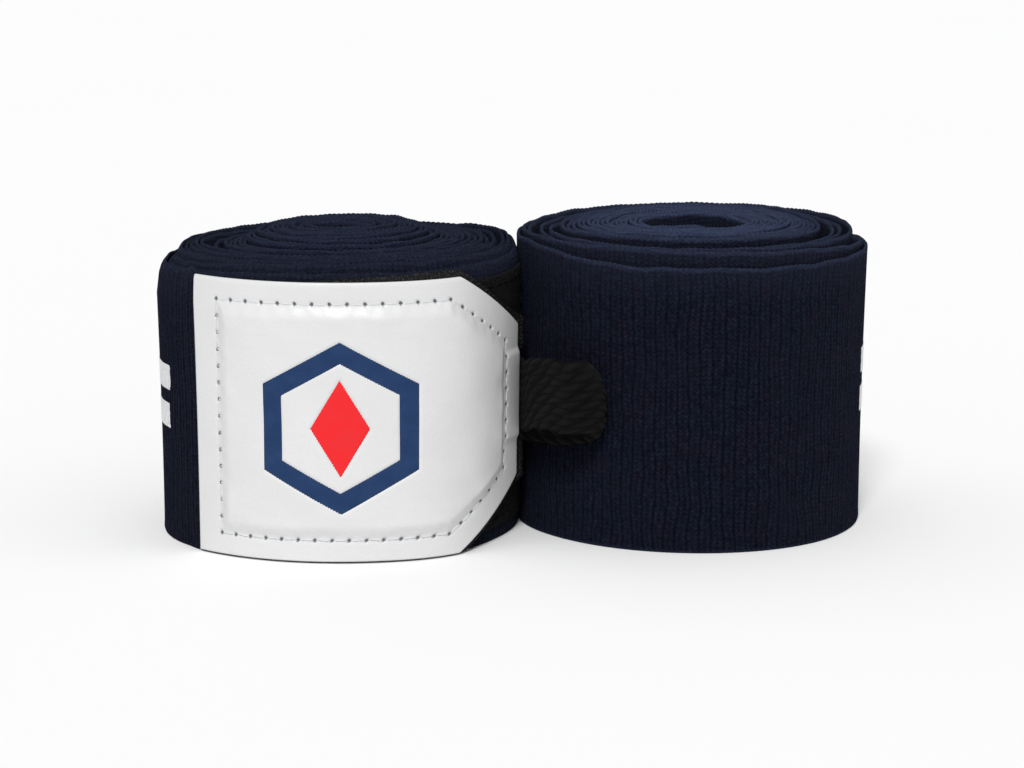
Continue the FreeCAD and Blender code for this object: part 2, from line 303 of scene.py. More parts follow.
def tube_faces(columns, ring, closed):
    """Quads of a tube of rings; closed joins the last ring to the first, else ends are capped."""
    count = columns if closed else columns - 1
    i, j = np.meshgrid(np.arange(count), np.arange(ring), indexing="ij")
    after, beside = (i + 1) % columns, (j + 1) % ring
    quads = joined(i * ring + j, after * ring + j, after * ring + beside, i * ring + beside)
    faces = [quads.reshape(-1, 4)]
    if not closed:
        k = np.arange(ring // 2 - 1)
        cap = joined(k, k + 1, ring - 2 - k, ring - 1 - k)
        faces.append(cap)
        faces.append(cap[:, ::-1] + (columns - 1) * ring)
    return np.concatenate(faces)


def tubes(rings, cloth, closed=False):
    """(points, faces, cloth coordinates) of one tube, or of a stack of equal tubes."""
    rings = np.asarray(rings, float)
    if rings.ndim == 3:
        rings = rings[None]
    count, columns, ring, _ = rings.shape
    faces = tube_faces(columns, ring, closed)
    faces = np.concatenate([faces + number * columns * ring for number in range(count)])
    return rings.reshape(-1, 3), faces, np.asarray(cloth, float).reshape(-1, 3)


def there_and_back(front, back):
    """The rows of one grid, then those of the other in reverse."""
    return np.concatenate([front, back[:, ::-1]], 1)


def slab(top, bottom, cloth, closed=False):
    """A closed plate between two grids of points."""
    return tubes(there_and_back(top, bottom), there_and_back(cloth, cloth), closed)


def facing_out(points, faces):
    """The faces, turned so that they face out."""
    a, b, c, d = (points[faces[:, k]] for k in range(4))
    volume = np.einsum("ij,ij->i", a, np.cross(b, c) + np.cross(c, d)).sum()
    return faces if volume > 0 else faces[:, ::-1]


def add_object(name, data):
    obj = bpy.data.objects.new(name, data)
    bpy.context.scene.collection.objects.link(obj)
    return obj


def build(name, parts, material):
    """One object from (points, faces, cloth coordinates) parts."""
    points, faces, cloth = zip(*parts)
    starts = np.cumsum([0] + [len(some) for some in points])
    faces = [facing_out(*pair) + start for *pair, start in zip(points, faces, starts)]
    points, faces, cloth = (np.concatenate(rows) for rows in (points, faces, cloth))
    mesh = bpy.data.meshes.new(name)
    mesh.vertices.add(len(points))
    mesh.vertices.foreach_set("co", points.astype(np.float32).ravel())
    mesh.loops.add(faces.size)
    mesh.loops.foreach_set("vertex_index", faces.astype(np.int32).ravel())
    mesh.polygons.add(len(faces))
    mesh.polygons.foreach_set("loop_start", np.arange(len(faces), dtype=np.int32) * 4)
    mesh.update(calc_edges=True)
    mesh.validate()
    mesh.shade_smooth()
    attribute = mesh.attributes.new("cloth", "FLOAT_VECTOR", "POINT")
    attribute.data.foreach_set("vector", cloth.astype(np.float32).ravel())
    mesh.materials.append(material)
    return add_object(name, mesh)


# --- Materials ---

class Shader:
    """A node material with a Principled surface, built socket by socket."""

    def __init__(self, name, **surface):
        self.material = bpy.data.materials.new(name)
        self.material.use_nodes = True
        self.tree = self.material.node_tree
        self.surface = self.tree.nodes["Principled BSDF"]
        self.set(**surface)

    def put(self, socket, value):
        if isinstance(value, bpy.types.NodeSocket):
            self.tree.links.new(value, socket)
        elif isinstance(value, tuple) and len(value) == 3 and socket.type == "RGBA":
            socket.default_value = (*value, 1)
        else:
            socket.default_value = value

    def set(self, **values):
        for key, value in values.items():
            self.put(self.surface.inputs[key.replace("_", " ")], value)

    def node(self, kind, inputs=(), **settings):
        node = self.tree.nodes.new(kind)
        for key, value in settings.items():
            setattr(node, key, value)
        for key, value in dict(inputs).items():
            self.put(node.inputs[key], value)
        return node

    def cloth(self, scale=(1, 1, 1)):
        """Cloth coordinates in mm, scaled."""
        source = self.node("ShaderNodeAttribute", attribute_name="cloth").outputs["Vector"]
        inputs = {0: source, 1: scale}
        return self.node("ShaderNodeVectorMath", inputs, operation="MULTIPLY").outputs[0]

    def axes(self):
        """Run, height and the piece's own third cloth coordinate."""
        return self.node("ShaderNodeSeparateXYZ", {0: self.cloth()}).outputs

    def math(self, operation, a, b=0.0, c=0.0):
        return self.node("ShaderNodeMath", {0: a, 1: b, 2: c}, operation=operation).outputs[0]

    def times(self, *values):
        product = values[0]
        for value in values[1:]:
            product = self.math("MULTIPLY", product, value)
        return product

    def plus(self, a, b):
        return self.math("ADD", a, b)

    def line(self, value, slope, start):
        """value * slope + start"""
        return self.math("MULTIPLY_ADD", value, slope, start)

    def noise(self, vector, detail=3.0, roughness=0.6, scale=1.0):
        inputs = {"Vector": vector, "Scale": scale, "Detail": detail, "Roughness": roughness}
        return self.node("ShaderNodeTexNoise", inputs).outputs["Fac"]

    def cells(self, scale, feature="F1"):
        inputs = {"Vector": self.cloth(), "Scale": scale}
        return self.node("ShaderNodeTexVoronoi", inputs, feature=feature).outputs["Distance"]

    def ramp(self, value, low, high, to_low=0.0, to_high=1.0):
        inputs = {0: value, 1: low, 2: high, 3: to_low, 4: to_high}
        return self.node("ShaderNodeMapRange", inputs).outputs[0]

    def mix(self, share, a, b):
        inputs = {0: share, 6: a, 7: b}
        return self.node("ShaderNodeMix", inputs, data_type="RGBA").outputs[2]

    def wave(self, value, length):
        """1 on the crests and 0 in the valleys of a wave of that length."""
        turned = self.times(value, 2 * math.pi / length)
        return self.line(self.math("COSINE", turned), 0.5, 0.5)

    def bump(self, height, distance, strength=1.0):
        inputs = {"Height": height, "Distance": distance, "Strength": strength}
        self.set(Normal=self.node("ShaderNodeBump", inputs).outputs[0])
        return self


def knit_material():
    """Ribbed elastic knit: ribs in pairs across the band, fine stitches along them, fuzzy edges,
    painted shade in the rib valleys and painted light towards the top edge.
    """
    s = Shader("band_knit", Roughness=0.95, Sheen_Weight=0.02, Sheen_Roughness=0.4,
               Sheen_Tint=(0.6, 0.7, 1.0), Specular_IOR_Level=0.02)
    run, height, edge_fuzz_and_light = s.axes()
    drift = s.ramp(s.noise(s.cloth((0.35, 0.35, 1)), 2.0), 0, 1, -0.35, 0.35)
    crest = s.wave(s.plus(run, drift), RIB_PITCH)
    deep = s.wave(s.plus(run, s.math("SUBTRACT", drift, RIB_PITCH / 2)), 2 * RIB_PITCH)
    valley = s.times(s.math("POWER", s.math("SUBTRACT", 1.0, crest), 2.0), s.line(deep, 0.45, 0.4))
    rib = s.math("FLOOR", s.times(run, 1 / RIB_PITCH))
    fibre = s.noise(s.cloth((3.0, 2.2, 1)), 5.0, 0.72)
    scatter = s.times(s.math("SINE", s.times(rib, 12.9)), 0.4)
    offset = s.line(crest, 0.35, scatter)
    stitch = s.wave(s.plus(s.plus(height, offset), fibre), 0.8)
    patchy = s.noise(s.cloth((0.09, 0.12, 1)), 3.0)
    grain = s.noise(s.cloth((1.5, 1.2, 1)), 2.0)
    # Painted shade: the rib valleys are darkened towards near-black navy; the fibre, stitch and grain
    # terms are the knit's own texture.
    light = s.times(s.line(valley, -0.85, 1.0), s.ramp(fibre, 0.32, 0.72, 0.3, 1.15),
                    s.line(stitch, 0.4, 0.62), s.ramp(grain, 0.3, 0.7, 0.5, 1.5))
    tint = s.ramp(s.noise(s.cloth((0.3, 0.22, 1)), 3.0), 0.42, 0.62)
    lit = s.mix(tint, (0.0108, 0.0146, 0.0290), (0.0136, 0.0132, 0.0272))
    colour = s.mix(light, (0.0012, 0.0014, 0.0036), lit)
    colour = s.mix(s.ramp(patchy, 0.45, 0.75, 0.0, 0.3), colour, (0.0088, 0.0097, 0.0165))
    # Painted light: the knit is lightened towards the band's top edge, standing in for the light the
    # coils' tops catch from above.
    colour = s.mix(s.ramp(height, 43, 50, 0.0, 0.22), colour, (0.024, 0.028, 0.05))
    # Fuzz on both edges, in a lighter blue that is partly painted light on the coils' tops, strongest
    # on the inner coils and set per wrap.
    edge = s.math("MAXIMUM", s.ramp(height, 49.0, 49.8), s.ramp(height, 0.6, 0.1))
    fuzz_and_light_mask = s.times(edge, s.ramp(fibre, 0.3, 0.7, 0.35, 1.0), edge_fuzz_and_light,
                   s.ramp(run, 600, 2000, 0.35, 1.0))
    s.set(Base_Color=s.mix(fuzz_and_light_mask, colour, (0.040, 0.053, 0.103)))
    relief = s.line(crest, 0.6, s.times(fibre, 1.2))
    relief = s.line(stitch, 0.25, relief)
    return s.bump(relief, 0.00025).material


def leather_material():
    """White coated leather: fine grain, faint stains, soft gloss and painted shade in its needle
    holes.
    """
    s = Shader("white_leather", Specular_IOR_Level=0.5, Coat_Weight=0.10, Coat_Roughness=0.34)
    grain = s.cells(3.2, "SMOOTH_F1")
    cloud = s.noise(s.cloth((0.05, 0.07, 1)), 3.0)
    scuff = s.noise(s.cloth((0.5, 0.12, 1)), 4.0)
    colour = s.mix(s.ramp(cloud, 0.35, 0.7), (0.655, 0.655, 0.658), (0.628, 0.628, 0.632))
    colour = s.mix(s.ramp(scuff, 0.62, 0.8, 0.0, 0.25), colour, (0.56, 0.56, 0.57))
    hole = s.axes()[2]
    # Painted shade: the needle holes are darkened to a dark grey.
    s.set(Base_Color=s.mix(s.ramp(hole, 0.1, 0.6), colour, (0.10, 0.11, 0.13)))
    s.set(Roughness=s.ramp(scuff, 0.3, 0.8, 0.40, 0.50))
    return s.bump(s.line(cloud, 0.5, grain), 0.00006, 0.6).material


def film_material(name, base, worn):
    """Pressed-in film: smooth, with the leather's grain showing faintly through."""
    s = Shader(name, Specular_IOR_Level=0.16)
    cloud = s.noise(s.cloth((0.25, 0.3, 1)), 4.0)
    grain = s.cells(3.2, "SMOOTH_F1")
    s.set(Base_Color=s.mix(s.ramp(cloud, 0.4, 0.8), base, worn))
    s.set(Roughness=s.ramp(cloud, 0.3, 0.8, 0.32, 0.44))
    return s.bump(grain, 0.00005, 0.6).material


def thread_material(name, base, dark):
    """Twisted thread: fine plies with painted shade in the grooves between them, and a few loose
    fibres.
    """
    s = Shader(name, Roughness=0.7, Specular_IOR_Level=0.12)
    fibre = s.noise(s.cloth((6, 6, 6)), 4.0)
    ply = s.wave(s.plus(*s.axes()[:2]), 0.32)
    # Painted shade: the grooves between the plies are mixed towards the darker colour, broken up by
    # the fibre noise.
    s.set(Base_Color=s.mix(s.times(ply, s.ramp(fibre, 0.2, 0.7)), dark, base))
    return s.bump(ply, 0.00005).material


def print_material():
    """Flexible white print that the ribs show through, worn thin in their valleys."""
    s = Shader("white_print", Roughness=0.5, Coat_Weight=0.08, Coat_Roughness=0.3)
    run, _, _ = s.axes()
    crest = s.wave(run, RIB_PITCH)
    wear = s.noise(s.cloth((1.4, 1.4, 1)), 5.0)
    thin = s.times(s.ramp(crest, 0.35, 0.0), s.ramp(wear, 0.45, 0.65))
    s.set(Base_Color=s.mix(thin, (0.66, 0.665, 0.68), (0.29, 0.31, 0.37)))
    return s.bump(s.line(wear, 0.4, crest), 0.00008).material


def loop_tape_material():
    """Brushed soft loop pile."""
    s = Shader("loop_tape", Roughness=1.0, Sheen_Weight=0.02, Sheen_Roughness=0.6,
               Specular_IOR_Level=0.02)
    pile = s.noise(s.cloth((2.6, 2.6, 2)), 6.0, 0.75)
    tuft = s.cells(1.6)
    tip = s.ramp(pile, 0.4, 0.75)
    s.set(Base_Color=s.mix(tip, (0.0018, 0.0018, 0.002), (0.013, 0.013, 0.0145)))
    return s.bump(s.line(pile, 1.2, tuft), 0.0003).material


def hook_tape_material():
    """Woven backing of the hook tape: dark, with pale flecks of nylon."""
    s = Shader("hook_tape", Roughness=0.55, Specular_IOR_Level=0.12)
    run, height, _ = s.axes()
    warp, weft = s.wave(run, 0.55), s.wave(height, 0.7)
    weave = s.times(warp, weft)
    fleck = s.ramp(s.noise(s.cloth((2.6, 2.2, 1)), 5.0, 0.7), 0.5, 0.68)
    fleck = s.times(fleck, s.line(weave, 0.7, 0.3))
    s.set(Base_Color=s.mix(fleck, (0.005, 0.005, 0.0055), (0.10, 0.10, 0.105)))
    return s.bump(weave, 0.00018).material


def webbing_material():
    """Coarse black braid, dry and slightly dusty, its ridges lighter and the valleys between them
    darkened with painted shade.
    """
    s = Shader("webbing", Roughness=0.85, Sheen_Weight=0.02, Sheen_Roughness=0.5,
               Specular_IOR_Level=0.05)
    fibre = s.noise(s.cloth((2.0, 6.0, 2)), 5.0, 0.7)
    ridge = s.axes()[2]
    dusty = s.ramp(fibre, 0.3, 0.75, 0.2, 1.1)
    # Painted shade: the valleys between the braid's ridges are darkened almost to the black; the dusty
    # noise is the braid's own.
    light = s.times(s.ramp(ridge, 0.0, 1.0, 0.1, 1.0), dusty)
    s.set(Base_Color=s.mix(light, (0.0014, 0.0014, 0.0015), (0.0108, 0.0106, 0.0110)))
    return s.bump(s.line(ridge, 0.3, fibre), 0.0003).material


def foam_material():
    """Open-cell foam, with painted shade in its cells."""
    s = Shader("foam", Roughness=0.95)
    cells = s.cells(2.2)
    # Painted shade: the hollows of the cells are darker than their walls.
    s.set(Base_Color=s.mix(s.ramp(cells, 0.05, 0.5), (0.5, 0.48, 0.42), (0.8, 0.78, 0.72)))
    return s.bump(cells, 0.0003).material


def floor_material():
    """Pale matt paper."""
    s = Shader("floor_paper", Roughness=0.9, Specular_IOR_Level=0.0)
    where = s.node("ShaderNodeTexCoord").outputs["Object"]
    s.set(Base_Color=s.mix(s.noise(where, scale=3.0), (0.93, 0.93, 0.935), (0.95, 0.95, 0.95)))
    return s.material


MATERIALS = {
    "band_knit": knit_material(),
    "white_leather": leather_material(),
    "navy_ink": film_material("navy_ink", (0.010, 0.032, 0.098), (0.016, 0.045, 0.125)),
    "red_ink": film_material("red_ink", (0.76, 0.018, 0.022), (0.70, 0.025, 0.03)),
    "white_thread": thread_material("white_thread", (0.78, 0.785, 0.80), (0.68, 0.69, 0.71)),
    "navy_thread": thread_material("navy_thread", (0.02, 0.024, 0.05), (0.007, 0.009, 0.018)),
    "black_thread": thread_material("black_thread", (0.007, 0.007, 0.008), (0.003, 0.003, 0.0035)),
    "white_print": print_material(),
    "loop_tape": loop_tape_material(),
    "hook_tape": hook_tape_material(),
    "webbing": webbing_material(),
    "foam": foam_material(),
}


def finish_piece(wrap, piece, parts, slot, body, nodes=()):
    """Builds a piece with its slot's material, hides the parts it replaces, and lets it ride if it has
    a body.
    """
    name = wrap.name(piece)
    obj = build(name + "_look", parts, MATERIALS[slot])
    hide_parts(name, *[wrap.name(node) for node in nodes])
    if body:
        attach(obj, wrap.body(body))
    return obj


# --- The band ---

TURN_TABLE = np.linspace(-40, 360 * TURNS, 30000)
RUN_TABLE = np.radians(TURN_TABLE) * (ROLL_RADIUS - TURN_PITCH * TURN_TABLE / 720)

# (side: 1 outer, -1 inner, 0 edge; height; half thickness; share of the ribs' depth)
FINE_PROFILE = [
    (1, 0.12, 0.24, 0.4), (1, 0.45, 0.38, 0.8), (1, 0.9, 0.37, 0.9),
    *[(1, height, BODY_HALF, 1) for height in (1.6, 4, 9, 15, 21, 27, 33, 39, 44, 47.6, 48.8)],
    (1, 49.4, 0.35, 1), (1, 49.82, 0.25, 0.6), (0, 50.0, 0, 0), (-1, 49.7, 0.30, 0.4),
    (-1, 49.2, 0.36, 0.8), (-1, 48, 0.33, 0.6), (-1, 36, 0.33, 0.4), (-1, 20, 0.33, 0.4),
    (-1, 5, 0.33, 0.4), (-1, 1.0, 0.37, 0.2), (-1, 0.3, 0.33, 0), (0, 0.0, 0, 0)]
COARSE_PROFILE = [
    (1, 0.3, 0.36, 0.5), (1, 25, 0.33, 1), (1, 44, 0.33, 1), (1, 48, 0.33, 1), (1, 49.1, 0.36, 1),
    (1, 49.75, 0.31, 0.7), (0, 50.0, 0, 0), (-1, 49.5, 0.37, 0.6), (-1, 47, 0.33, 0.6),
    (-1, 25, 0.33, 0.5), (-1, 0.4, 0.33, 0), (0, 0.0, 0, 0)]


def slack(wrap, turn, angle):
    """How far inwards the coils have pulled away from their neighbours."""
    facing = np.radians(wrap.facing(angle))
    total = -wrap.eye_shift * np.cos(facing) * smooth(1.2, TURNS, turn)
    pressed = np.clip(np.cos(facing - math.radians(80)), 0, 1) ** 4
    total = total + wrap.dent * pressed * (1 - smooth(3, 20, turn))
    for at, width, least, extra, widest, sharp in wrap.gaps:
        lean = np.cos(facing - math.radians(widest))
        share = (0.5 + 0.5 * lean) if sharp == 1 else np.clip(lean, 0, 1) ** sharp
        left = 1 - np.clip((turn - at) / (TURNS - at), 0, 1)
        total = total + (least + extra * share) * smooth(at, at + width, turn) * left
    return total


def rise(wrap, turn, run):
    """How far the coils have slid up out of the roll."""
    total = np.zeros_like(turn)
    for at, height in wrap.steps:
        total = total + height * smooth(at, at + 0.35, turn)
    total = total - wrap.eye_drop[0] * smooth(*EYE_TURNS, turn)
    loose = smooth(1.0, 1.6, turn)
    return total + loose * wrap.uneven * wrap.ripple(run, 0, 1, 90)


def coil_points(wrap, turn_angle, depth, height, run):
    """Points of the wound band at an angle in from its outer end, a depth under its face."""
    turn = turn_angle / 360
    index = np.clip(np.floor(turn_angle / 180), 0, None)
    angle = BAND_END_ANGLE - turn_angle
    side = 1 - 2 * (index % 2)
    radius = ROLL_RADIUS - TURN_PITCH / 4 - index * TURN_PITCH / 2
    hold = 1 - smooth(2, 9, turn)
    radius = radius - depth - slack(wrap, turn, angle)
    radius = radius + hold * (flare(wrap, angle, height) + curl(wrap, angle, height))
    centre = outward(BAND_END_ANGLE) * (side * TURN_PITCH / 4)[..., None]
    xy = centre + outward(angle) * radius[..., None]
    wave = 0.16 * wrap.ripple(run, 0, 2, 40)
    wave = wave + 0.08 * wrap.ripple(run, 0, 3, 7)
    lift = wrap.lift * smooth(140, 208, turn_angle) * (1 - smooth(245, 300, turn_angle))
    lift = lift - wrap.dip * leftness(wrap, angle) * (1 - smooth(0.9, 3.2, turn))
    lift = lift - wrap.eye_drop[1] * smooth(*EYE_TURNS, turn)
    facing = np.radians(wrap.facing(angle))
    slope = wrap.tilt[0] * np.cos(facing) + wrap.tilt[1] * np.sin(facing)
    lift = lift + slope * radius / ROLL_RADIUS * smooth(1.0, 1.6, turn)
    top = np.clip(height / BAND_WIDTH, 0, 1)
    wave = wave + 0.07 * np.cos(2 * math.pi * run / RIB_PITCH) * smooth(48, 49.8, height)
    level = height + rise(wrap, turn, run) + top * (wave + lift)
    return place(wrap, xy, np.maximum(level, 0.02 * height))


def rib_depth(run, height, seed):
    """How far the cloth's face lies under the crests of its ribs. Every other valley is deeper."""
    valley = 0.5 - 0.5 * np.cos(2 * math.pi * run / RIB_PITCH)
    deep = 0.5 + 0.5 * np.sin(math.pi * run / RIB_PITCH)
    strength = 1 + 0.25 * ripple(run, height, seed, 9)
    return RIB_DEPTH * strength * valley ** 1.5 * (0.7 + 0.3 * deep)


def turn_angle_at(wrap, run, height):
    """Angle in from the band's outer end, along ribs that bend a little."""
    bent = run + 0.3 * wrap.ripple(run, height, 4, 16)
    return np.interp(bent, RUN_TABLE, TURN_TABLE)


def ribbed_section(wrap, run, profile):
    """(run, height, depth under the face, turn angle) round the band's section at each run."""
    side, height, half, ribbed = (np.array(column, float)[None] for column in zip(*profile))
    relief = np.where(side > 0, 1, 0.5) * ribbed * rib_depth(run, height, wrap.seed + 5)
    depth = BODY_HALF - side * (half - relief)
    return *np.broadcast_arrays(run, height, depth), turn_angle_at(wrap, run, height)


def ribbon(wrap, runs, profile):
    """A length of the band as one tube."""
    run, height, depth, turn_angle = ribbed_section(wrap, runs[:, None], profile)
    rings = coil_points(wrap, turn_angle, depth, height, run)
    return tubes(rings, joined(run, height, wrap.edge_fuzz_and_light))


def band(wrap):
    """The wound band: fine columns on the outer turns, coarser ones in the core."""
    start = math.radians(BAND_START) * ROLL_RADIUS
    middle = np.interp(FINE_TURNS * 360, TURN_TABLE, RUN_TABLE)
    end = np.interp(360 * TURNS - 1, TURN_TABLE, RUN_TABLE)
    fine = np.arange(start, middle, RIB_PITCH / 4)
    coarse = np.arange(fine[-1], end, RIB_PITCH / 2)
    parts = [ribbon(wrap, fine, FINE_PROFILE), ribbon(wrap, coarse, COARSE_PROFILE)]
    obj = finish_piece(wrap, "band", parts, "band_knit", "wrap")


def band_tuck(wrap):
    """The last of the band, from the roll up into the tab's left seam."""
    first = BAND_END_ANGLE - BAND_START - 0.6
    last = TAB_LEFT_ANGLE + math.degrees(SEAM_TUCK / FLAT_RADIUS)
    count = int(math.radians(last - first) * ROLL_RADIUS / (RIB_PITCH / 4))
    angle = np.linspace(first, last, count)[:, None]
    run = -np.radians(angle - BAND_END_ANGLE) * ROLL_RADIUS
    run, height, depth, turn_angle = ribbed_section(wrap, run, FINE_PROFILE)
    on_roll = coil_points(wrap, np.maximum(turn_angle, 0), depth, height, run)
    level = HOOK_TOP - 0.03 - depth
    top = np.minimum(height, TAB_TOP + 1.2 - 1.0 * smooth(-50, -47, angle))
    on_tab = tab_points(wrap, BAND_END_ANGLE - turn_angle, level, top)
    share = smooth(-54.0, -47.4, BAND_END_ANGLE - turn_angle)[..., None]
    free = (turn_angle < 0)[..., None]
    rings = np.where(free, on_tab, on_roll * (1 - share) + on_tab * share)
    parts = [tubes(rings, joined(run, height, wrap.edge_fuzz_and_light))]
    obj = finish_piece(wrap, "band_tuck", parts, "band_knit", None)
    hinge = (BAND_END_ANGLE + TAB_LEFT_ANGLE) / 2
    start, end = (tab_points(wrap, hinge + step, TAB_HINGE_LEVEL, 25.0) for step in (-3.2, 2.4))
    wrap.body("wrap")
    wrap.body("tab")
    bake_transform(obj)


# --- Stitches ---

def thread_tubes(paths, radius):
    """Twisted thread along paths of equal length; paths is (count, steps, 3) in metres."""
    steps, around = paths.shape[1], 8
    tangent = unit(np.gradient(paths, axis=1))
    up = np.zeros_like(tangent)
    up[..., 2] = 1
    across = np.cross(tangent, up)
    flat = np.linalg.norm(across, axis=-1, keepdims=True) < 0.2
    across = unit(np.where(flat, np.cross(tangent, np.array([0.0, 1.0, 0.0])), across))
    lift = np.cross(across, tangent)
    turn = np.linspace(0, 2 * math.pi, around, endpoint=False)
    twist = np.linspace(0, 2.4 * math.pi, steps)[:, None]
    width = radius / 1000 * (0.92 + 0.14 * np.cos(THREAD_PLIES * (turn - twist)))
    rings = (paths[:, :, None] + across[:, :, None] * (np.cos(turn) * width)[None, :, :, None]
             + lift[:, :, None] * (np.sin(turn) * width)[None, :, :, None])
    run = np.linspace(0, 2.4, steps)[:, None]
    cloth = np.broadcast_to(joined(run, turn / 6, 0), rings.shape)
    return tubes(rings, cloth)


def tab_outline(inset):
    """Corners of the tab's outline moved inwards, in flat (run, height) mm, anticlockwise."""
    slope = math.hypot(CORNER_RUN, CORNER_DROP)
    run = CORNER_RUN - inset - inset * (CORNER_RUN - slope) / CORNER_DROP
    drop = CORNER_DROP - inset - inset * (CORNER_DROP - slope) / CORNER_RUN
    left, right, low, high = inset, TAB_LENGTH - inset, TAB_BOTTOM + inset, TAB_TOP - inset
    return np.array([(left, low), (right - run, low), (right, low + drop), (right, high - drop),
                     (right - run, high), (left, high)])


def right_edge(height, inset):
    """Run of the tab's free edge at a height, with its corners cut."""
    corners = tab_outline(inset)
    return np.interp(height, corners[1:5, 1], corners[1:5, 0])


def seam_stitches(corners):
    """Ends of each stitch along a closed outline: (count, 2, 2)."""
    ends = []
    for a, b in sides_of(corners):
        count = max(1, round(np.linalg.norm(b - a) / STITCH_SPACING))
        shares = np.linspace(0, 1, count + 1)[:, None]
        holes = a + (b - a) * shares
        ends.append(np.stack([holes[:-1], holes[1:]], 1))
    return np.concatenate(ends)


def stitch_paths(ends, surface, lift, seed, steps):
    """Thread paths that dip into a hole at both ends; surface gives points from (spot, level)."""
    rng = np.random.default_rng(seed)
    share = np.linspace(0, 1, steps)[None, :, None]
    a, b = ends[:, :1], ends[:, 1:]
    direction = unit(b - a)
    normal = joined(-direction[..., 1], direction[..., 0])
    lean = rng.uniform(-0.14, 0.14, (len(ends), 1, 1))
    spots = a + direction * STITCH_GAP + (b - a - 2 * STITCH_GAP * direction) * share
    spots = spots + normal * lean * (share - 0.5) * 2
    arch = (1 - (2 * share[..., 0] - 1) ** 4) ** 0.7
    level = -0.22 + (lift + 0.22) * arch + 0 * spots[..., 0]
    return surface(spots, level)


def stitching(wrap, piece, ends, surface, lift, number, radius, slot, steps=9, body="wrap"):
    """The thread of a seam, one tube for each stitch."""
    paths = stitch_paths(ends, surface, lift, wrap.seed + number, steps)
    finish_piece(wrap, piece, [thread_tubes(paths, radius)], slot, body)


# --- The tab ---

SEAM_SHIFT = np.array([(2.3, 0), (-1.0, 0), (-1.7, 0), (-1.7, 0), (-1.0, 0), (2.3, 0)])
SEAM = tab_outline(SEAM_LINE) + SEAM_SHIFT
SEAM_ENDS = seam_stitches(SEAM)
COVER_OUTLINE = np.maximum(tab_outline(0.0), [COVER_LEFT, 0])
EMBLEM_RUN = math.radians(EMBLEM_ANGLE - TAB_LEFT_ANGLE) * FLAT_RADIUS


def along_sides(run, height, corners):
    """For each side of an outline: (distance along it, distance inwards from it, its length)."""
    for a, b in sides_of(corners):
        length = np.linalg.norm(b - a)
        dx, dy = (b - a) / length
        x, y = run - a[0], height - a[1]
        yield x * dx + y * dy, -dy * x + dx * y, length


def outline_distance(run, height, corners=COVER_OUTLINE):
    """Distance inwards from an outline."""
    return np.min([across for _, across, _ in along_sides(run, height, corners)], axis=0)


def hexagon_radius(x, y):
    """Corner radius of the hexagon, standing on a corner, that passes through a point."""
    turns = [math.radians(turn) for turn in (30, 90, 150)]
    across = [np.abs(x * math.sin(turn) + y * math.cos(turn)) for turn in turns]
    return np.max(across, axis=0) / math.cos(math.radians(30))


def emblem_depth(run, height):
    """How far the emblem is pressed into the pad."""
    x, y = run - EMBLEM_RUN, height - EMBLEM_HEIGHT
    ring = hexagon_radius(x, y)
    inner, outer = RING_RADII
    in_ring = smooth(inner - 0.3, inner + 0.1, ring) * (1 - smooth(outer - 0.1, outer + 0.3, ring))
    rhombus = np.abs(x) / RHOMBUS_HALF[0] + np.abs(y) / RHOMBUS_HALF[1]
    in_rhombus = 1 - smooth(0.98, 1.06, rhombus)
    return 0.24 * np.maximum(in_ring, in_rhombus)


def seam_pull(run, height):
    """How far the thread pulls the cover down along the seam: (groove and holes, puckers)."""
    groove = np.zeros(np.broadcast(run, height).shape)
    pucker = np.zeros_like(groove)
    for travel, across, length in along_sides(run, height, SEAM):
        on_side = smooth(-1.2, 0, travel) * (1 - smooth(length, length + 1.2, travel))
        spacing = length / max(1, round(length / STITCH_SPACING))
        hole = (travel + spacing / 2) % spacing - spacing / 2
        dent = 0.05 * np.exp(-(across / 0.5) ** 2)
        dent = dent + 0.40 * np.exp(-(across ** 2 + hole ** 2) / 0.33 ** 2)
        groove = np.maximum(groove, dent * on_side)
        wave = np.cos(2 * math.pi * travel / spacing) * np.exp(-((across - 1.1) / 1.0) ** 2)
        pucker = pucker + 0.035 * wave * on_side
    return groove, pucker


def cover_level(wrap, run, height):
    """Level of the leather's face."""
    distance = outline_distance(run, height)
    level = MARGIN_TOP - 0.16 * (1 - np.clip(distance / 0.3, 0, 1)) ** 2
    level = level + 0.05 * wrap.ripple(run, height, 20, 11)
    inside = outline_distance(run, height, SEAM)
    shoulder = smooth(0.2, 2.8, inside) ** 0.75
    level = level + (PAD_TOP - MARGIN_TOP) * shoulder + 0.18 * smooth(1, 16, inside)
    level = level + shoulder * (0.05 * wrap.ripple(run, height, 21, 13)
                                + 0.012 * wrap.ripple(run * 0.35, height, 22, 3))
    edge_zone = shoulder * (1 - smooth(2.2, 6, inside))
    level = level + edge_zone * 0.08 * wrap.ripple(run, height, 23, 6.5)
    over_tails = smooth(TAB_LENGTH - 9.2, TAB_LENGTH - 8.2, run)
    over_tails = over_tails * smooth(17.2, 18.6, height) * (1 - smooth(32.8, 34.2, height))
    level = np.maximum(level, MARGIN_TOP + (TAIL_COVER_TOP - MARGIN_TOP) * over_tails)
    groove, pucker = seam_pull(run, height)
    return level - groove + pucker - emblem_depth(run, height)


def needle_holes(run, height):
    """1 in the middle of a needle hole, 0 away from it; the leather paints shade where it is 1."""
    groove, _ = seam_pull(run, height)
    return smooth(0.15, 0.30, groove)


def cover_surface(wrap):
    """Function that turns (run, height) spots and levels above the leather into points."""
    def surface(spots, level):
        run, height = spots[..., 0], spots[..., 1]
        total = cover_level(wrap, run, height) + level
        return tab_points(wrap, flat_angle(run), total, height)
    return surface


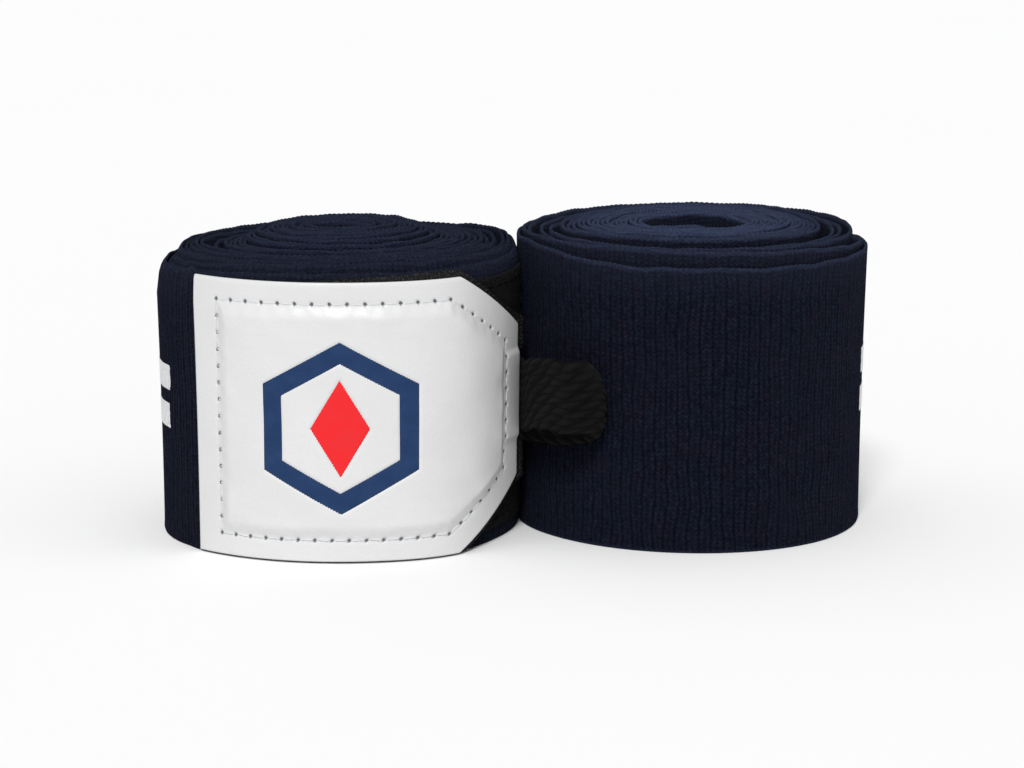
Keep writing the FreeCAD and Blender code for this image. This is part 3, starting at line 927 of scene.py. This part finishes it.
def tab_grid(columns, rows, left, inset):
    """Grid over the tab whose right side follows its cut corners."""
    low, high = TAB_BOTTOM + inset, TAB_TOP - inset
    height = np.linspace(low, high, rows)[None]
    right = right_edge(height, inset)
    run = left + (right - left) * np.linspace(0, 1, columns)[:, None]
    return np.broadcast_arrays(run, height)


def tab_plate(wrap, run, height, top, bottom, side=0.0, closed=False):
    """A closed plate on the tab between two levels; side is its third cloth coordinate."""
    angle = flat_angle(run)
    faces = [tab_points(wrap, angle, level, height) for level in (top, bottom)]
    return slab(*faces, joined(run, height, side), closed)


def patch_cover(wrap):
    """The leather, with a border round the pad and its seam pulled in."""
    run, height = tab_grid(*COVER_GRID, COVER_LEFT, 0.0)
    level = cover_level(wrap, run, height)
    under = np.maximum(level - COVER_THICKNESS, HOOK_TOP + 0.01)
    part = tab_plate(wrap, run, height, level, under, needle_holes(run, height))
    obj = finish_piece(wrap, "patch_cover", [part], "white_leather", "tab")


def patch_foam(wrap):
    """Foam under the cover, crowned, with its edges pressed thin."""
    thin, thick = HOOK_TOP + 0.08, HOOK_TOP + 0.2
    run, height = tab_grid(*FOAM_GRID, FOAM_INSET, FOAM_INSET)
    level = np.maximum(cover_level(wrap, run, height) - COVER_THICKNESS - 0.05, thick)
    distance = outline_distance(run, height, tab_outline(FOAM_INSET))
    level = thin + (level - thin) * smooth(-0.1, 1.5, distance)
    part = tab_plate(wrap, run, height, level, HOOK_TOP + 0.02)
    obj = finish_piece(wrap, "patch_foam", [part], "foam", "tab")


def patch_stitching(wrap):
    """Thread along the patch's seam, sunk a little into the leather."""
    stitching(wrap, "patch_stitching", SEAM_ENDS, cover_surface(wrap), -0.02, 30,
              PATCH_THREAD_RADIUS, "white_thread", 11, "tab")


def film(wrap, piece, x, y, share, slot, closed):
    """Film pressed into the pad; share runs from 0 to 1 between its two long edges."""
    run, height = EMBLEM_RUN + x, EMBLEM_HEIGHT + y
    edge = np.minimum(share, 1 - share)
    level = cover_level(wrap, run, height) + 0.015 + 0.025 * smooth(0, 0.06, edge)
    part = tab_plate(wrap, run, height, level, level - FILM_THICKNESS, closed=closed)
    finish_piece(wrap, piece, [part], slot, "tab")


def emblem_ring(wrap):
    """Hexagonal ring, standing on a corner."""
    corners = np.radians(np.arange(7) * 60)
    outline = joined(np.sin(corners), np.cos(corners))
    shares = np.linspace(0, 1, 30, endpoint=False)[:, None]
    sides = np.concatenate([a + (b - a) * shares for a, b in zip(outline, outline[1:])])
    share = np.linspace(0, 1, 15)[None]
    inner, outer = RING_RADII
    radius = inner + 0.02 + (outer - inner - 0.04) * share
    x, y = sides[:, :1] * radius, sides[:, 1:] * radius
    film(wrap, "emblem_ring", x, y, share + 0 * x, "navy_ink", True)


def emblem_rhombus(wrap):
    """Rhombus in the middle of the ring."""
    a = np.linspace(-1, 1, 36)[:, None]
    b = np.linspace(-1, 1, 36)[None]
    x = 0.99 * RHOMBUS_HALF[0] * (a - b) / 2
    y = 0.99 * RHOMBUS_HALF[1] * (a + b) / 2
    share = (np.maximum(np.abs(a), np.abs(b)) + 1) / 2
    film(wrap, "emblem_rhombus", x, y, share, "red_ink", False)


def hook_grid(wrap, columns, rows):
    """Grid over the hook tape, a little larger than the patch, cut back behind the thumb loop."""
    height = np.linspace(TAB_BOTTOM, TAB_TOP + HOOK_FRINGE, rows)
    low, high = LOOP_SPAN
    right = right_edge(height, -HOOK_FRINGE)
    notch = (height > low) & (height < high)
    right = right + FRINGE_OUT * smooth(TAB_LENGTH - 6, TAB_LENGTH, right)
    right = np.where(notch, TAB_LENGTH, right)
    right = right + 0.12 * wrap.ripple(height, 0, 40, 2.5)
    left = SEAM_TUCK + 0.15
    run = left + (right - left) * np.linspace(0, 1, columns)[:, None]
    tall = TAB_TOP - TAB_BOTTOM
    shrink = (tall - 0.1) / (tall + HOOK_FRINGE)
    height = TAB_BOTTOM + (height - TAB_BOTTOM) * (shrink + (1 - shrink) * smooth(14, 46, run))
    return run, height


def hook_bristles(wrap):
    """Rows of little hooks under the tape."""
    rng = np.random.default_rng(wrap.seed + 41)
    columns = np.arange(SEAM_TUCK + 2, TAB_LENGTH - 1, HOOK_SPACING)
    rows = np.arange(1.6, 47.8, HOOK_SPACING)
    run, height = np.meshgrid(columns, rows, indexing="ij")
    run, height = run.ravel(), height.ravel()
    keep = outline_distance(run, height) > 1.0
    run, height = run[keep], height[keep]
    run = run + rng.uniform(-0.12, 0.12, len(run))
    lean = np.where(rng.random(len(run)) > 0.5, 1, -1)[:, None]
    bend = np.linspace(0, 1, 6)[None]
    reach = lean * 0.22 * smooth(0.3, 1, bend)
    drop = 0.46 * np.sin(np.clip(bend * 1.25, 0, 1.25) * math.pi / 2)
    level = HOOK_BOTTOM + 0.06 - drop
    paths = tab_points(wrap, flat_angle(run[:, None] + reach), level, height[:, None])
    around = np.linspace(0, 2 * math.pi, 4, endpoint=False)
    offset = joined(np.cos(around), np.sin(around), 0) * 0.06 / 1000
    rings = paths[:, :, None] + offset[None, None]
    return tubes(rings, np.broadcast_to(np.array([0.3, 0.4, 0.0]), rings.shape))


def hook_tape(wrap):
    """Woven tape whose free edge springs out past the patch as a fringe."""
    run, height = hook_grid(wrap, *HOOK_GRID)
    weave = 0.05 * np.cos(2 * math.pi * run / 0.9) * np.cos(2 * math.pi * height / 0.8)
    spring = FRINGE_SPRING * smooth(TAB_LENGTH - 0.2, TAB_LENGTH + 2.2, run)
    level = np.minimum(HOOK_TOP - 0.07 + weave, HOOK_TOP - 0.01)
    under = HOOK_BOTTOM + 0.05 + weave
    parts = [tab_plate(wrap, run, height, level + spring, under + spring), hook_bristles(wrap)]
    obj = finish_piece(wrap, "hook_tape", parts, "hook_tape", "tab")


# --- On the band ---

def loop_panel(wrap):
    """Soft loop panel: a napped, uneven pile."""
    left, right = PANEL_ANGLES
    low, high = PANEL_HEIGHTS
    columns, rows = PANEL_GRID
    angle = np.linspace(left, right, columns)[:, None]
    height = np.linspace(low, high, rows)[None]
    run = np.radians(angle) * TAB_RADIUS
    ends = np.minimum(run - run[0], run[-1] - run)
    edge = np.minimum(ends, np.minimum(height - low, high - height))
    pile = 0.05 * wrap.ripple(run, height, 50, 1.3)
    pile = pile + 0.05 * wrap.ripple(run, height, 51, 3.1)
    level = (PANEL_TOP - 0.05 + pile) * (0.55 + 0.45 * smooth(0, 0.5, edge))
    top = tab_points(wrap, angle, level, height, 0.0)
    bottom = tab_points(wrap, angle, 0.0, height, 0.0)
    parts = [slab(top, bottom, joined(run, height, 0))]
    obj = finish_piece(wrap, "loop_panel", parts, "loop_tape", "wrap")
    wrap.name("band_look")


def loop_panel_stitching(wrap):
    """Thread round the loop panel."""
    left, right = (math.radians(angle) * FLAT_RADIUS for angle in PANEL_ANGLES)
    low, high = PANEL_HEIGHTS
    inset = 1.5
    corners = np.array([(left + inset, low + inset), (right - inset, low + inset),
                        (right - inset, high - inset), (left + inset, high - inset)])

    def surface(spots, level):
        angle = np.degrees(spots[..., 0] / FLAT_RADIUS)
        return tab_points(wrap, angle, PANEL_TOP - 0.02 + level, spots[..., 1], 0.0)

    stitching(wrap, "loop_panel_stitching", seam_stitches(corners), surface, 0.1, 52,
              THREAD_RADIUS, "black_thread")


def band_print(wrap):
    """Plain bars that follow the ribs of the outer coil."""
    parts = []
    step = RIB_PITCH / 4
    first, last = (np.interp(BAND_END_ANGLE - angle, TURN_TABLE, RUN_TABLE)
                   for angle in BAR_ANGLES[::-1])
    runs = np.arange(math.ceil(first / step), last / step) * step
    for low in BAR_BOTTOMS:
        height = np.linspace(low, low + BAR_HEIGHT, 20)[None]
        run = runs[:, None] + 0.06 * wrap.ripple(runs[:, None], height, 60, 1.2)
        turn_angle = turn_angle_at(wrap, run, height)
        under = rib_depth(run, height, wrap.seed + 5)
        run, height = np.broadcast_arrays(run, height)
        top = coil_points(wrap, turn_angle, 0.7 * under - 0.09, height, run)
        bottom = coil_points(wrap, turn_angle, under + 0.04, height, run)
        parts.append(slab(top, bottom, joined(run, height, 0)))
    finish_piece(wrap, "band_print", parts, "white_print", "wrap")


def end_hem_stitching(wrap):
    """Thread across the hem at the band's inner end, in the core."""
    angle = 360 * TURNS - 45
    run = np.interp(angle, TURN_TABLE, RUN_TABLE)
    holes = np.arange(3.0, 47.5, STITCH_SPACING)
    spots = joined(0, holes)
    ends = np.stack([spots[:-1], spots[1:]], 1)

    def surface(spots, level):
        turn_angle = angle + np.degrees(spots[..., 0] / 6.0)
        depth = 2 * BODY_HALF + 0.03 + level
        return coil_points(wrap, turn_angle, depth, spots[..., 1], run + spots[..., 0])

    stitching(wrap, "end_hem_stitching", ends, surface, 0.12, 61, THREAD_RADIUS, "navy_thread")


# --- The thumb loop ---

LOOP_AXIS = along(LOOP_DIRECTION)
LOOP_ACROSS = np.array([-LOOP_AXIS[1], LOOP_AXIS[0]])
ROOT_ANGLE = TAB_RIGHT_ANGLE + math.degrees(LOOP_ROOT_OUT / FLAT_RADIUS)
LOOP_ROOT = TAB_CENTRE + outward(ROOT_ANGLE) * (TAB_RADIUS + LOOP_ROOT_LEVEL + 0.35)


def loop_route(wrap):
    """Plan points, height of the middle and thickness of the webbing, tail to tail."""
    def on_tab(angle, level, height, thickness):
        return (*tab_xy(wrap, np.array(angle), np.array(level), np.array(height)), height, thickness)

    def on_leg(reach, side, height, thickness, bulge=0.0):
        half = 0.5 + (LOOP_FOLD_RADIUS - 0.5) * reach / LOOP_REACH + bulge
        return (*(LOOP_ROOT + LOOP_AXIS * reach + LOOP_ACROSS * side * half), height, thickness)

    edge = TAB_RIGHT_ANGLE
    route = [on_tab(58, 1.70, 25.5, 0.18), on_tab(64, 1.70, 25.5, 0.18),
             on_tab(edge - 0.4, 1.71, 25.5, 0.2), on_tab(edge + 1.3, 2.3, 25.5, 0.8)]
    route += [on_leg(0.9, -1, 25.4, 1.1, 0.3), on_leg(4, -1, 26.1, 1.3, 1.3),
              on_leg(8, -1, 27.0, 1.35, 1.6), on_leg(12.5, -1, 27.6, 1.35, 0.9)]
    fold = LOOP_ROOT + LOOP_AXIS * LOOP_REACH
    for turn in (-80, -50, -20, 10, 40, 70):
        swing = math.radians(turn)
        spot = fold + LOOP_FOLD_RADIUS * (LOOP_AXIS * math.cos(swing) + LOOP_ACROSS * math.sin(swing))
        route.append((*spot, 27.5 - 2.3 * float(smooth(0, 100, turn)), 1.35))
    route += [on_leg(12.5, 1, 24.3, 1.35, -0.1), on_leg(8, 1, 23.6, 1.35, -0.1),
              on_leg(4, 1, 23.3, 1.3), on_leg(0.8, 1, 23.3, 1.0)]
    route += [on_tab(edge + 2.2, 2.0, 23.7, 0.6), on_tab(edge - 0.4, 1.50, 24.4, 0.2),
              on_tab(64, 1.49, 24.5, 0.16), on_tab(58, 1.49, 24.5, 0.16)]
    return np.array(route, float)


def smooth_route(route):
    """A smooth, evenly spaced version of a route of points."""
    padded = np.concatenate([2 * route[:1] - route[1:2], route, 2 * route[-1:] - route[-2:-1]])
    share = np.linspace(0, 1, 24, endpoint=False)[:, None]
    pieces = []
    for p0, p1, p2, p3 in zip(padded, padded[1:], padded[2:], padded[3:]):
        square = 2 * p0 - 5 * p1 + 4 * p2 - p3
        cube = 3 * p1 - p0 - 3 * p2 + p3
        curve = 2 * p1 + (p2 - p0) * share + square * share ** 2 + cube * share ** 3
        pieces.append(0.5 * curve)
    dense = np.concatenate(pieces + [route[-1:]])
    hops = np.linalg.norm(np.diff(dense[:, :2], axis=0), axis=1)
    lengths = np.concatenate([[0], np.cumsum(hops)])
    even = np.linspace(0, lengths[-1], int(lengths[-1] / ROUTE_STEP))
    return even, joined(*[np.interp(even, lengths, column) for column in dense.T])


def braid(run, across):
    """Height of the braid's ridges, from 0 to 1: leaning strands in rows along the webbing."""
    row_width = WEBBING_WIDTH / 8
    row = np.floor(across / row_width)
    inside = across / row_width - row - 0.5
    strand = np.cos(math.pi * (run / 3.6 - inside * 0.9 + 0.41 * row)) ** 2
    return strand ** 0.6 * (0.12 + 0.88 * np.cos(math.pi * inside) ** 0.8)


def thumb_loop(wrap):
    """Webbing from tail to tail, with a braided face on both sides."""
    runs, route = smooth_route(loop_route(wrap))
    tangent = unit(np.gradient(route[:, :2], axis=0))
    normal = joined(tangent[:, 1], -tangent[:, 0])
    across = np.linspace(0, WEBBING_WIDTH, 54)[None]
    run = runs[:, None]
    thickness = route[:, 3:4]
    full = np.clip((thickness - 0.3) / 0.9, 0, 1)
    round_edge = np.sqrt(np.clip(1 - (np.abs(across / WEBBING_WIDTH - 0.5) * 2) ** 10, 0, 1))
    ridge = braid(run + 0.2 * wrap.ripple(run, across, 70, 6), across)
    half = thickness / 2 * (0.35 + 0.65 * round_edge)
    back_ridge = braid(run + 1.1, across)
    front = half - full * BRAID_DEPTH * (1 - ridge)
    back = half - full * BRAID_DEPTH * (1 - back_ridge)
    wobble = 0.12 * full * wrap.ripple(run, across, 71, 9)
    height = route[:, 2:3] + (across - WEBBING_WIDTH / 2) * (1 - 0.04 * full)
    height = height + 0.15 * full * wrap.ripple(run, 0, 72, 8)
    reach = (route[:, :2] - LOOP_ROOT) @ LOOP_AXIS
    pull = 3.0 * smooth(12, 21, reach)[:, None] * np.abs(across / WEBBING_WIDTH * 2 - 1) ** 3.5
    rings, cloth = [], []
    for offset, face in ((front + wobble, ridge), (wobble - back, back_ridge)):
        xy = route[:, None, :2] + normal[:, None] * offset[..., None] - LOOP_AXIS * pull[..., None]
        rings.append(place(wrap, xy, height))
        cloth.append(joined(run, across, face))
    parts = [tubes(there_and_back(*rings), there_and_back(*cloth))]
    obj = finish_piece(wrap, "thumb_loop", parts, "webbing", None, ["thumb_loop_tails"])
    wrap.body("tab")
    wrap.body("thumb_loop")
    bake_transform(obj)


PIECES = (band, band_tuck, loop_panel, loop_panel_stitching, band_print, end_hem_stitching,
          hook_tape, patch_foam, patch_cover, patch_stitching, emblem_ring, emblem_rhombus,
          thumb_loop)
for wrap in WRAPS:
    for make in PIECES:
        make(wrap)


# --- Floor, light and camera ---

def studio():
    """Pale floor, white surroundings, one broad key light and the camera."""
    scene = bpy.context.scene
    mesh = bpy.data.meshes.new("floor")
    signs = [(-1, -1), (1, -1), (1, 1), (-1, 1)]
    corners = [(x * FLOOR_HALF, y * FLOOR_HALF, 0) for x, y in signs]
    mesh.from_pydata(corners, [], [(0, 1, 2, 3)])
    mesh.materials.append(floor_material())
    floor = add_object("floor", mesh)

    world = bpy.data.worlds.new("studio")
    world.use_nodes = True
    background = world.node_tree.nodes["Background"]
    background.inputs["Color"].default_value = (1.0, 1.0, 1.0, 1)
    background.inputs["Strength"].default_value = WORLD_STRENGTH
    scene.world = world

    sun = bpy.data.lights.new("key", "SUN")
    sun.energy = KEY_STRENGTH
    sun.angle = KEY_ANGLE
    key = add_object("key", sun)
    key.rotation_euler = KEY_FROM.to_track_quat("Z", "Y").to_euler()

    lens = bpy.data.cameras.new("camera")
    lens.sensor_width = 36.0
    lens.lens = LENS
    lens.clip_start = 0.01
    camera = add_object("camera", lens)
    camera.location = CAMERA_PLACE
    camera.rotation_euler = (math.pi / 2 - CAMERA_DROP, 0, 0)
    scene.camera = camera
    scene.view_settings.view_transform = "Standard"


studio()
